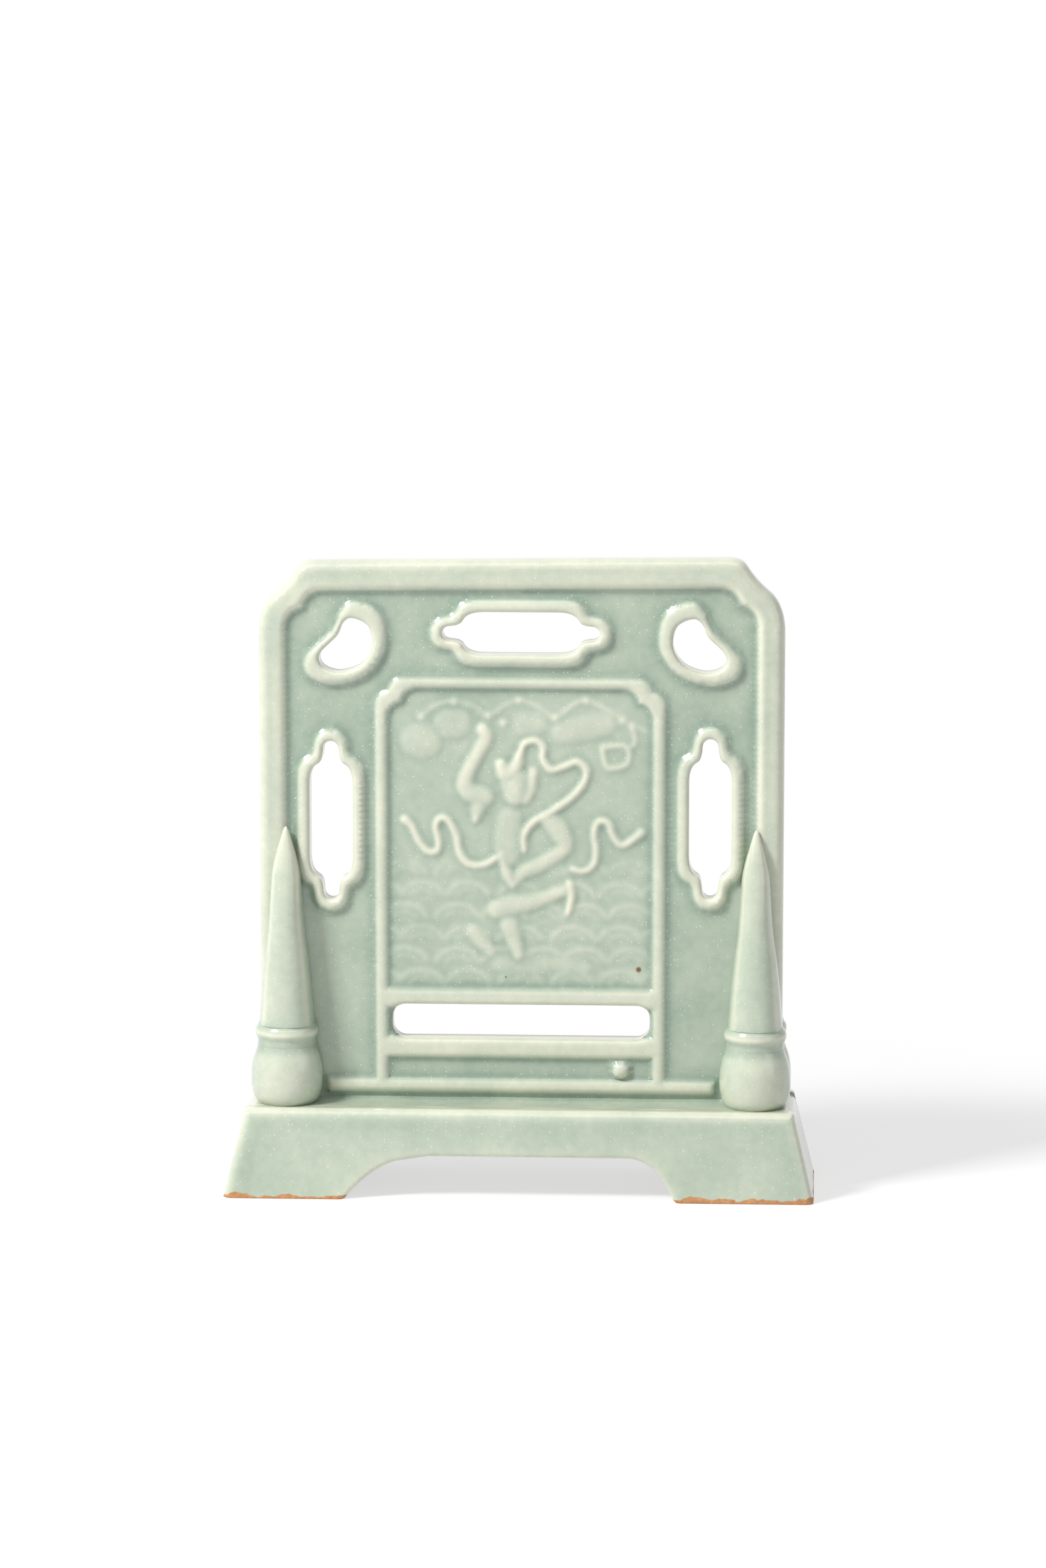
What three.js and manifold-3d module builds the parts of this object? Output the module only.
// Table screen: a pierced upright panel in a round-edged frame, held at each side
// by a front and a rear post and standing on a flared, arched base.
// Millimetres, +Z up, X to the right, the pictured face looks towards -Y, and the
// origin lies under the middle of the base.

import * as THREE from 'three';
import { mergeVertices } from 'three/addons/utils/BufferGeometryUtils.js';
import Module from 'manifold-3d';

const wasm = await Module();
wasm.setup();

// Joints between clay pieces
const SEAM = 0.3;

// Upright panel and its frame
const SLAB_HALF_T = 3;
const FRAME_HALF_T = 5;
const FRAME_ROUND = 2.4;
const PANEL_HALF_W = 73.2;
const TOP_LEFT_Z = 176.9;
const TOP_RIGHT_Z = 178.2;
const OUTER_CORNER_RUN = 16;
const OUTER_CORNER_DROP = 20;
const FRAME_SIDE_W = 8;
const FRAME_TOP_W = 8.6;
const INNER_CORNER_REACH = 10;
const INNER_CORNER_CUSP = 4.7;
const GROOVE_DEPTH = 4;
const CORNER_JOINT_Z = 158.5;

// Pierced openings, drawn as u along the opening and v across it
const TOP_WINDOW = { x: 0, z: 156.9, halfLong: 21.9, halfWide: 5.9, neck: 16.8, tip: 2 };
const LEFT_WINDOW = { x: -53, z: 104, halfLong: 22.4, halfWide: 6, neck: 16.6, tip: 2.2 };
const RIGHT_WINDOW = { x: 52.7, z: 105.2, halfLong: 22.5, halfWide: 5.9, neck: 16.6, tip: 2.2 };
const WINDOW_RIM_W = 3.7;
const LEFT_HEART = { x: -48.5, z: 152.5, side: 1 };
const RIGHT_HEART = { x: 49.3, z: 152.8, side: -1 };
const HEART_RIM_SCALE = 1.6;
const HEART_POINTS = [
  [1.4, 8.4], [6, 6.2], [7, 0.3], [3.8, -4.6], [-2.1, -6.6],
  [-6.8, -5], [-7.3, -1.5], [-2.6, 3.4], [-1.1, 6.7],
];
const SLOT = { left: -36, right: 36, bottom: 42.4, top: 52, round: 3.6 };

// Raised strips around the picture and the slot
const STRIP_PROUD = 1.3;
const RIM_PROUD = 1.7;
const BEAD_ROUND = 0.8;
const STRIP_W = 4;
const PICTURE_LEFT = -41;
const PICTURE_RIGHT = 40.5;
const PICTURE_TOP = 144.9;
const PICTURE_CORNER_REACH = 8.5;
const PICTURE_CORNER_CUSP = 3.9;
const UPPER_RAIL_TOP = 57;
const LOWER_RAIL_BOTTOM = 36.7;
const FOOT_RAIL_TOP = 31;
const FOOT_RAIL_BOTTOM = 26.6;
const FOOT_RAIL_HALF_W = 54.5;
const PLAQUE_PROUD = 0.7;
const PELLET = { x: 27.9, z: 33.85, radius: 2.7, height: 2.3 };

// Posts
const POST_X = 65.6;
const DRUM = { y: 6, bottom: 24.6, top: 40.4, foot: 8.4, belly: 10, neck: 8 };
const COLLAR = { y: 6, bottom: 40.4, top: 46.9, neck: 7.6, ring: 8.7 };
const TONGUE = { y: 5, bottom: 46.9, top: 102.6, foot: 7.4, shoulder: 3.6, depthRatio: 1.2 };
const ROUND_STEPS = 28;

// Base
const BASE_HALF_W = 82.4;
const BASE_TOP_HALF_W = 76.5;
const BASE_HALF_D = 22;
const BASE_TOP_HALF_D = 17.7;
const DECK_Z = 24.6;
const WALL = 5;
const ARCH = { left: -48.5, right: 43.7, height: 11.9, flatLeft: -25, flatRight: 30 };
const REAR_ARCH = { left: -46, right: 46, height: 11.9, flatLeft: -28, flatRight: 28 };

const glaze = new THREE.MeshStandardMaterial({ color: 0xc3cfc0, roughness: 0.15, metalness: 0 });
const paleGlaze = new THREE.MeshStandardMaterial({ color: 0xd6dac9, roughness: 0.15, metalness: 0 });
const panelGlaze = new THREE.MeshStandardMaterial({ color: 0xb9c8bb, roughness: 0.15, metalness: 0 });

const screen = new THREE.Group();

/** Turns a closed three.js geometry into a solid, facing outwards. */
function toSolid(geometry) {
  const bare = geometry.clone();
  bare.deleteAttribute('normal');
  bare.deleteAttribute('uv');
  const merged = mergeVertices(bare, 1e-4);
  const spots = merged.attributes.position.array;
  const corners = [];
  let volume = 0;
  for (let i = 0; i < merged.index.count; i += 3) {
    const [a, b, c] = [0, 1, 2].map((k) => merged.index.array[i + k]);
    if (a === b || b === c || c === a) continue;
    corners.push(a, b, c);
    const [p, q, r] = [a, b, c].map((k) => new THREE.Vector3().fromArray(spots, 3 * k));
    volume += p.dot(q.cross(r));
  }
  if (volume < 0) corners.reverse();
  return new wasm.Manifold(new wasm.Mesh({
    numProp: 3,
    vertProperties: new Float32Array(spots),
    triVerts: new Uint32Array(corners),
  }));
}

/** Adds a solid to the screen as a named piece. */
function addPiece(name, solid, material) {
  const cut = solid.getMesh();
  const geometry = new THREE.BufferGeometry();
  geometry.setAttribute('position', new THREE.BufferAttribute(cut.vertProperties, 3));
  geometry.setIndex(new THREE.BufferAttribute(cut.triVerts, 1));
  const mesh = new THREE.Mesh(geometry, material);
  mesh.name = name;
  screen.add(mesh);
}

/** A flat plate whose outline is drawn in X and Z, from yFront to yBack. */
function plate(shape, yFront, yBack) {
  const geometry = new THREE.ExtrudeGeometry(shape, {
    depth: yBack - yFront, bevelEnabled: false, curveSegments: 4,
  });
  geometry.rotateX(Math.PI / 2);
  geometry.translate(0, yBack, 0);
  return toSolid(geometry);
}

/** A plate with both faces' edges rounded by `round`, inside the drawn outline. */
function roundedPlate(shape, yFront, yBack, round) {
  const geometry = new THREE.ExtrudeGeometry(shape, {
    depth: yBack - yFront - 2 * round,
    bevelThickness: round,
    bevelSize: round,
    bevelOffset: -round,
    bevelSegments: 2,
    curveSegments: 4,
  });
  geometry.rotateX(Math.PI / 2);
  geometry.translate(0, yBack - round, 0);
  return toSolid(geometry);
}

/** A box between two corners. */
function block(low, high) {
  const size = high.map((value, i) => value - low[i]);
  const geometry = new THREE.BoxGeometry(...size);
  geometry.translate(...low.map((value, i) => value + size[i] / 2));
  return toSolid(geometry);
}

/** A block whose foot and head are different rectangles [x0, x1, y0, y1]. */
function flaredBlock(foot, footZ, head, headZ) {
  const geometry = new THREE.BoxGeometry(1, 1, 1);
  const spots = geometry.attributes.position;
  for (let i = 0; i < spots.count; i += 1) {
    const rise = spots.getZ(i) + 0.5;
    const [x0, x1, y0, y1] = foot.map((value, k) => THREE.MathUtils.lerp(value, head[k], rise));
    const x = THREE.MathUtils.lerp(x0, x1, spots.getX(i) + 0.5);
    const y = THREE.MathUtils.lerp(y0, y1, spots.getY(i) + 0.5);
    spots.setXYZ(i, x, y, THREE.MathUtils.lerp(footZ, headZ, rise));
  }
  return toSolid(geometry);
}

/** A solid turned about an upright axis from [radius, height] pairs. */
function turned(profile) {
  const points = profile.map(([radius, height]) => new THREE.Vector2(radius, height));
  const geometry = new THREE.LatheGeometry(points, ROUND_STEPS);
  geometry.rotateX(Math.PI / 2);
  return toSolid(geometry);
}

/** The panel's outline with gently indented upper corners, `inset` inside the edge. */
function panelOutline(inset, footZ) {
  const half = PANEL_HALF_W - inset;
  const run = OUTER_CORNER_RUN;
  const drop = OUTER_CORNER_DROP;
  const left = TOP_LEFT_Z - inset;
  const right = TOP_RIGHT_Z - inset;
  const shape = new THREE.Shape();
  shape.moveTo(-half, footZ);
  shape.lineTo(half, footZ);
  shape.lineTo(half, right - drop);
  shape.quadraticCurveTo(half - 0.4, right - 12.2, half - 5, right - 8.9);
  shape.quadraticCurveTo(half - 8.4, right - 5.9, half - 10.7, right - 2.2);
  shape.quadraticCurveTo(half - 12.2, right, half - run, right);
  shape.lineTo(run - half, left);
  shape.quadraticCurveTo(12.2 - half, left, 10.7 - half, left - 2.2);
  shape.quadraticCurveTo(8.4 - half, left - 5.9, 5 - half, left - 8.9);
  shape.quadraticCurveTo(0.4 - half, left - 12.2, -half, left - drop);
  return shape;
}

/** A rectangle whose two upper corners are lobes meeting in an inward cusp. */
function cuspedOutline(x0, x1, z0, leftTop, rightTop, reach, cusp) {
  const shape = new THREE.Shape();
  const bend = cusp * 1.15;
  shape.moveTo(x0, z0);
  shape.lineTo(x1, z0);
  shape.lineTo(x1, rightTop - reach);
  shape.quadraticCurveTo(x1 - 0.3, rightTop - bend, x1 - cusp, rightTop - cusp);
  shape.quadraticCurveTo(x1 - bend, rightTop - 0.3, x1 - reach, rightTop);
  shape.lineTo(x0 + reach, leftTop);
  shape.quadraticCurveTo(x0 + bend, leftTop - 0.3, x0 + cusp, leftTop - cusp);
  shape.quadraticCurveTo(x0 + 0.3, leftTop - bend, x0, leftTop - reach);
  return shape;
}

/** The frame's inner outline, `inset` further inside the picture side. */
function frameInnerOutline(inset) {
  const half = PANEL_HALF_W - FRAME_SIDE_W - inset;
  const drop = FRAME_TOP_W + inset;
  return cuspedOutline(
    -half, half, DECK_Z - 2 * SEAM, TOP_LEFT_Z - drop, TOP_RIGHT_Z - drop,
    INNER_CORNER_REACH, INNER_CORNER_CUSP,
  );
}

/** A long window whose shoulders narrow to a small round lobe at each end. */
function windowOutline(window, grow, upright) {
  const long = window.halfLong + grow;
  const wide = window.halfWide + grow;
  const tip = window.tip + grow * 0.75;
  const neck = window.neck + grow * 0.6;
  const straight = neck * 0.6;
  const path = new THREE.Path();
  path.moveTo(-straight, wide);
  path.lineTo(straight, wide);
  path.quadraticCurveTo(neck - 1.6, wide, neck - 0.6, tip + 1.3);
  path.quadraticCurveTo(neck + 0.2, tip + 0.1, long - tip, tip);
  path.absarc(long - tip, 0, tip, Math.PI / 2, 0, true);
  const quarter = path.getPoints(4).slice(1);
  const half = quarter.concat(quarter.slice(0, -1).reverse().map((p) => new THREE.Vector2(p.x, -p.y)));
  const loop = half.concat(half.map((p) => new THREE.Vector2(-p.x, -p.y)));
  const placed = loop.map((p) => (upright
    ? new THREE.Vector2(window.x + p.y, window.z + p.x)
    : new THREE.Vector2(window.x + p.x, window.z + p.y)));
  return new THREE.Shape(placed);
}

/** A two-lobed heart opening, grown by `scale` about its own middle. */
function heartOutline(heart, scale) {
  const points = HEART_POINTS.map(([x, z]) => new THREE.Vector3(
    heart.x + heart.side * scale * x, heart.z + scale * z, 0,
  ));
  const curve = new THREE.CatmullRomCurve3(points, true);
  return new THREE.Shape(curve.getPoints(32).slice(0, -1).map((p) => new THREE.Vector2(p.x, p.y)));
}

/** The long letter-box slot under the picture. */
function slotOutline(grow) {
  const x0 = SLOT.left - grow;
  const x1 = SLOT.right + grow;
  const z0 = SLOT.bottom - grow;
  const z1 = SLOT.top + grow;
  const round = SLOT.round;
  const shape = new THREE.Shape();
  shape.absarc(x0 + round, z0 + round, round, Math.PI, 1.5 * Math.PI, false);
  shape.absarc(x1 - round, z0 + round, round, 1.5 * Math.PI, 2 * Math.PI, false);
  shape.absarc(x1 - round, z1 - round, round, 0, 0.5 * Math.PI, false);
  shape.absarc(x0 + round, z1 - round, round, 0.5 * Math.PI, Math.PI, false);
  return shape;
}

/** A raised strip or ring on the panel's front face, rounded along its front edges. */
function bead(shape, proud) {
  const front = -SLAB_HALF_T - proud;
  const whole = roundedPlate(shape, front, front + proud + 2 * BEAD_ROUND, BEAD_ROUND);
  const far = 2 * BASE_HALF_W;
  return whole.intersect(block([-far, -far, 0], [far, -SLAB_HALF_T, far + DECK_Z]));
}

const openings = {
  top_window: windowOutline(TOP_WINDOW, 0, false),
  left_window: windowOutline(LEFT_WINDOW, 0, true),
  right_window: windowOutline(RIGHT_WINDOW, 0, true),
  heart_left: heartOutline(LEFT_HEART, 1),
  heart_right: heartOutline(RIGHT_HEART, 1),
  slot: slotOutline(0),
};

/** The pierced slab, its edge running on into the frame's groove. */
function addSlab() {
  const inset = FRAME_SIDE_W - GROOVE_DEPTH;
  let slab = plate(panelOutline(inset, DECK_Z + SEAM), -SLAB_HALF_T, SLAB_HALF_T);
  for (const outline of Object.values(openings)) {
    slab = slab.subtract(plate(outline, -2 * SLAB_HALF_T, 2 * SLAB_HALF_T));
  }
  addPiece('screen_slab', slab, panelGlaze);
}

/** The frame: a top rail across two stiles, grooved for the slab. */
function addFrame() {
  const reach = 2 * FRAME_HALF_T;
  const groove = plate(
    panelOutline(FRAME_SIDE_W - GROOVE_DEPTH - SEAM, 0), -SLAB_HALF_T - SEAM, SLAB_HALF_T + SEAM,
  );
  const ring = roundedPlate(panelOutline(0, DECK_Z + SEAM - FRAME_ROUND), -FRAME_HALF_T, FRAME_HALF_T, FRAME_ROUND)
    .subtract(plate(frameInnerOutline(0), -reach, reach))
    .subtract(groove);
  const far = 2 * BASE_HALF_W;
  const joint = CORNER_JOINT_Z;
  const above = block([-far, -reach, joint], [far, reach, far * 2]);
  const leftBelow = block([-far, -reach, DECK_Z + SEAM], [0, reach, joint - SEAM]);
  const rightBelow = block([0, -reach, DECK_Z + SEAM], [far, reach, joint - SEAM]);
  addPiece('frame_top_rail', ring.intersect(above), paleGlaze);
  addPiece('frame_left_stile', ring.intersect(leftBelow), paleGlaze);
  addPiece('frame_right_stile', ring.intersect(rightBelow), paleGlaze);
}

/** A raised rim around each window and heart. */
function addRims() {
  const rims = [
    ['top_window_rim', windowOutline(TOP_WINDOW, WINDOW_RIM_W, false), openings.top_window],
    ['left_window_rim', windowOutline(LEFT_WINDOW, WINDOW_RIM_W, true), openings.left_window],
    ['right_window_rim', windowOutline(RIGHT_WINDOW, WINDOW_RIM_W, true), openings.right_window],
    ['heart_rim_left', heartOutline(LEFT_HEART, HEART_RIM_SCALE), openings.heart_left],
    ['heart_rim_right', heartOutline(RIGHT_HEART, HEART_RIM_SCALE), openings.heart_right],
  ];
  for (const [name, outline, opening] of rims) {
    const ring = bead(outline, RIM_PROUD).subtract(plate(opening, -reachPast(RIM_PROUD), 0));
    addPiece(name, ring, paleGlaze);
  }
}

/** A depth that clears the front of anything standing `proud` of the slab. */
function reachPast(proud) {
  return 2 * (SLAB_HALF_T + proud);
}

/** The strips that frame the picture and the slot. */
function addStrips() {
  const innerLeft = PICTURE_LEFT + STRIP_W;
  const innerRight = PICTURE_RIGHT - STRIP_W;
  const innerTop = PICTURE_TOP - STRIP_W * 0.9;
  const outer = cuspedOutline(
    PICTURE_LEFT, PICTURE_RIGHT, FOOT_RAIL_TOP + SEAM, PICTURE_TOP, PICTURE_TOP,
    PICTURE_CORNER_REACH, PICTURE_CORNER_CUSP,
  );
  const inner = cuspedOutline(
    innerLeft, innerRight, 0, innerTop, innerTop, PICTURE_CORNER_REACH, PICTURE_CORNER_CUSP,
  );
  const clear = reachPast(STRIP_PROUD);
  const border = bead(outer, STRIP_PROUD).subtract(plate(inner, -clear, 0));
  const far = 2 * BASE_HALF_W;
  const jointZ = PICTURE_TOP - PICTURE_CORNER_REACH - STRIP_W;
  const above = block([-far, -clear, jointZ], [far, 0, far]);
  const leftBelow = block([-far, -clear, 0], [0, 0, jointZ - SEAM]);
  const rightBelow = block([0, -clear, 0], [far, 0, jointZ - SEAM]);
  addPiece('picture_head_rail', border.intersect(above), paleGlaze);
  addPiece('picture_left_stile', border.intersect(leftBelow), paleGlaze);
  addPiece('picture_right_stile', border.intersect(rightBelow), paleGlaze);

  const rails = [
    ['slot_upper_rail', innerLeft + SEAM, innerRight - SEAM, SLOT.top - 2, UPPER_RAIL_TOP],
    ['slot_lower_rail', innerLeft + SEAM, innerRight - SEAM, LOWER_RAIL_BOTTOM, SLOT.bottom + 2],
    ['foot_rail', -FOOT_RAIL_HALF_W, FOOT_RAIL_HALF_W, FOOT_RAIL_BOTTOM, FOOT_RAIL_TOP],
  ];
  const slotCut = plate(openings.slot, -clear, 0);
  for (const [name, x0, x1, z0, z1] of rails) {
    const outline = new THREE.Shape([
      new THREE.Vector2(x0, z0), new THREE.Vector2(x1, z0),
      new THREE.Vector2(x1, z1), new THREE.Vector2(x0, z1),
    ]);
    addPiece(name, bead(outline, STRIP_PROUD).subtract(slotCut), paleGlaze);
  }

  const plaque = cuspedOutline(
    innerLeft + SEAM, innerRight - SEAM, UPPER_RAIL_TOP + SEAM, innerTop - SEAM, innerTop - SEAM,
    PICTURE_CORNER_REACH, PICTURE_CORNER_CUSP,
  );
  addPiece('relief_plaque', plate(plaque, -SLAB_HALF_T - PLAQUE_PROUD, -SLAB_HALF_T), panelGlaze);
}

/** The small round pellet low on the right. */
function addPellet() {
  const steps = 6;
  const profile = [new THREE.Vector2(0, 0)];
  for (let i = 0; i <= steps; i += 1) {
    const turn = (i / steps) * (Math.PI / 2);
    profile.push(new THREE.Vector2(PELLET.radius * Math.cos(turn), PELLET.height * Math.sin(turn)));
  }
  profile[profile.length - 1].x = 0;
  const geometry = new THREE.LatheGeometry(profile, ROUND_STEPS);
  geometry.rotateX(Math.PI);
  geometry.translate(PELLET.x, -SLAB_HALF_T, PELLET.z);
  addPiece('pellet', toSolid(geometry), paleGlaze);
}

/** Space that the framed panel takes, with a seam all round. */
function panelSpace() {
  const slabZone = plate(panelOutline(-SEAM, 0), -SLAB_HALF_T - SEAM, SLAB_HALF_T + SEAM);
  const frameZone = plate(panelOutline(-SEAM, 0), -FRAME_HALF_T - SEAM, FRAME_HALF_T + SEAM)
    .subtract(plate(frameInnerOutline(SEAM), -reachPast(FRAME_HALF_T), reachPast(FRAME_HALF_T)));
  const grow = WINDOW_RIM_W + SEAM;
  const depth = SLAB_HALF_T + RIM_PROUD + SEAM;
  return slabZone.add(frameZone)
    .add(plate(windowOutline(LEFT_WINDOW, grow, true), -depth, 0))
    .add(plate(windowOutline(RIGHT_WINDOW, grow, true), -depth, 0));
}

/** Four posts, each a drum, a collar and a tapering tongue that lean on the frame. */
function addPosts() {
  const space = panelSpace();
  const drumMid = (DRUM.bottom + DRUM.top) / 2;
  const drum = turned([
    [0, DRUM.bottom + SEAM], [DRUM.foot, DRUM.bottom + SEAM],
    [DRUM.belly - 0.4, drumMid - 4.4], [DRUM.belly, drumMid], [DRUM.belly - 0.4, drumMid + 4],
    [DRUM.neck + 0.6, DRUM.top - 1.4], [DRUM.neck, DRUM.top], [0, DRUM.top],
  ]);
  const ringZ = COLLAR.top - 2.1;
  const collar = turned([
    [0, COLLAR.bottom + SEAM], [COLLAR.neck, COLLAR.bottom + SEAM], [COLLAR.neck, ringZ - 1.7],
    [COLLAR.ring - 0.3, ringZ - 1.1], [COLLAR.ring, ringZ], [COLLAR.ring - 0.3, ringZ + 1.1],
    [COLLAR.neck, COLLAR.top], [0, COLLAR.top],
  ]);
  const height = TONGUE.top - TONGUE.bottom;
  const tongueProfile = [[0, TONGUE.bottom + SEAM], [TONGUE.foot, TONGUE.bottom + SEAM]];
  for (const share of [0.25, 0.5, 0.7, 0.82, 0.91, 0.96, 0.985]) {
    const taper = THREE.MathUtils.lerp(TONGUE.foot, TONGUE.shoulder * 0.8, share);
    const rounding = Math.sqrt(1 - Math.max(0, (share - 0.8) / 0.2) ** 2);
    tongueProfile.push([taper * rounding, TONGUE.bottom + share * height]);
  }
  tongueProfile.push([0, TONGUE.top]);
  const tongue = turned(tongueProfile).scale([1, TONGUE.depthRatio, 1]);

  for (const [row, sign] of [['front', -1], ['rear', 1]]) {
    const far = 2 * BASE_HALF_W;
    const halfSpace = sign < 0
      ? block([-far, -far, 0], [far, -SEAM / 2, far * 2])
      : block([-far, SEAM / 2, 0], [far, far, far * 2]);
    for (const [hand, x] of [['left', -POST_X], ['right', POST_X]]) {
      const parts = [['drum', drum, DRUM.y], ['collar', collar, COLLAR.y], ['tongue', tongue, TONGUE.y]];
      for (const [part, solid, y] of parts) {
        const placed = solid.translate([x, sign * y, 0]).intersect(halfSpace).subtract(space);
        addPiece(`${row}_${hand}_${part}`, placed, glaze);
      }
    }
  }
}

/** The gap under an apron, with sloping ends and a flat head. */
function archOutline(arch) {
  const shape = new THREE.Shape();
  const low = -WALL;
  shape.moveTo(arch.left, low);
  shape.lineTo(arch.right, low);
  shape.lineTo(arch.right, 0);
  shape.quadraticCurveTo(arch.flatRight + 9, arch.height - 2.6, arch.flatRight + 5, arch.height - 1.2);
  shape.quadraticCurveTo(arch.flatRight + 3, arch.height, arch.flatRight, arch.height);
  shape.lineTo(arch.flatLeft, arch.height);
  shape.lineTo(arch.flatLeft - 9, arch.height - 1.4);
  shape.quadraticCurveTo(arch.flatLeft - 16, arch.height - 3.2, arch.left, 0);
  return shape;
}

/** The flared base: two arched aprons, two ends between them and a deck let in. */
function addBase() {
  const innerFoot = BASE_HALF_D - WALL;
  const innerHead = BASE_TOP_HALF_D - WALL;
  const far = 2 * BASE_HALF_D;
  const front = flaredBlock(
    [-BASE_HALF_W, BASE_HALF_W, -BASE_HALF_D, -innerFoot], 0,
    [-BASE_TOP_HALF_W, BASE_TOP_HALF_W, -BASE_TOP_HALF_D, -innerHead], DECK_Z,
  );
  const rear = flaredBlock(
    [-BASE_HALF_W, BASE_HALF_W, innerFoot, BASE_HALF_D], 0,
    [-BASE_TOP_HALF_W, BASE_TOP_HALF_W, innerHead, BASE_TOP_HALF_D], DECK_Z,
  );
  addPiece('front_apron', front.subtract(plate(archOutline(ARCH), -far, 0)), glaze);
  addPiece('rear_apron', rear.subtract(plate(archOutline(REAR_ARCH), 0, far)), glaze);
  for (const [name, sign] of [['left_end', -1], ['right_end', 1]]) {
    const foot = [sign * BASE_HALF_W, sign * (BASE_HALF_W - WALL)].sort((a, b) => a - b);
    const head = [sign * BASE_TOP_HALF_W, sign * (BASE_TOP_HALF_W - WALL)].sort((a, b) => a - b);
    addPiece(name, flaredBlock(
      [...foot, SEAM - innerFoot, innerFoot - SEAM], 0,
      [...head, SEAM - innerHead, innerHead - SEAM], DECK_Z,
    ), glaze);
  }
  const deckHalfW = BASE_TOP_HALF_W - WALL - SEAM;
  const deckHalfD = innerHead - SEAM;
  addPiece('deck', block(
    [-deckHalfW, -deckHalfD, DECK_Z - WALL], [deckHalfW, deckHalfD, DECK_Z],
  ), glaze);
}

addSlab();
addFrame();
addRims();
addStrips();
addPellet();
addPosts();
addBase();

export default screen;
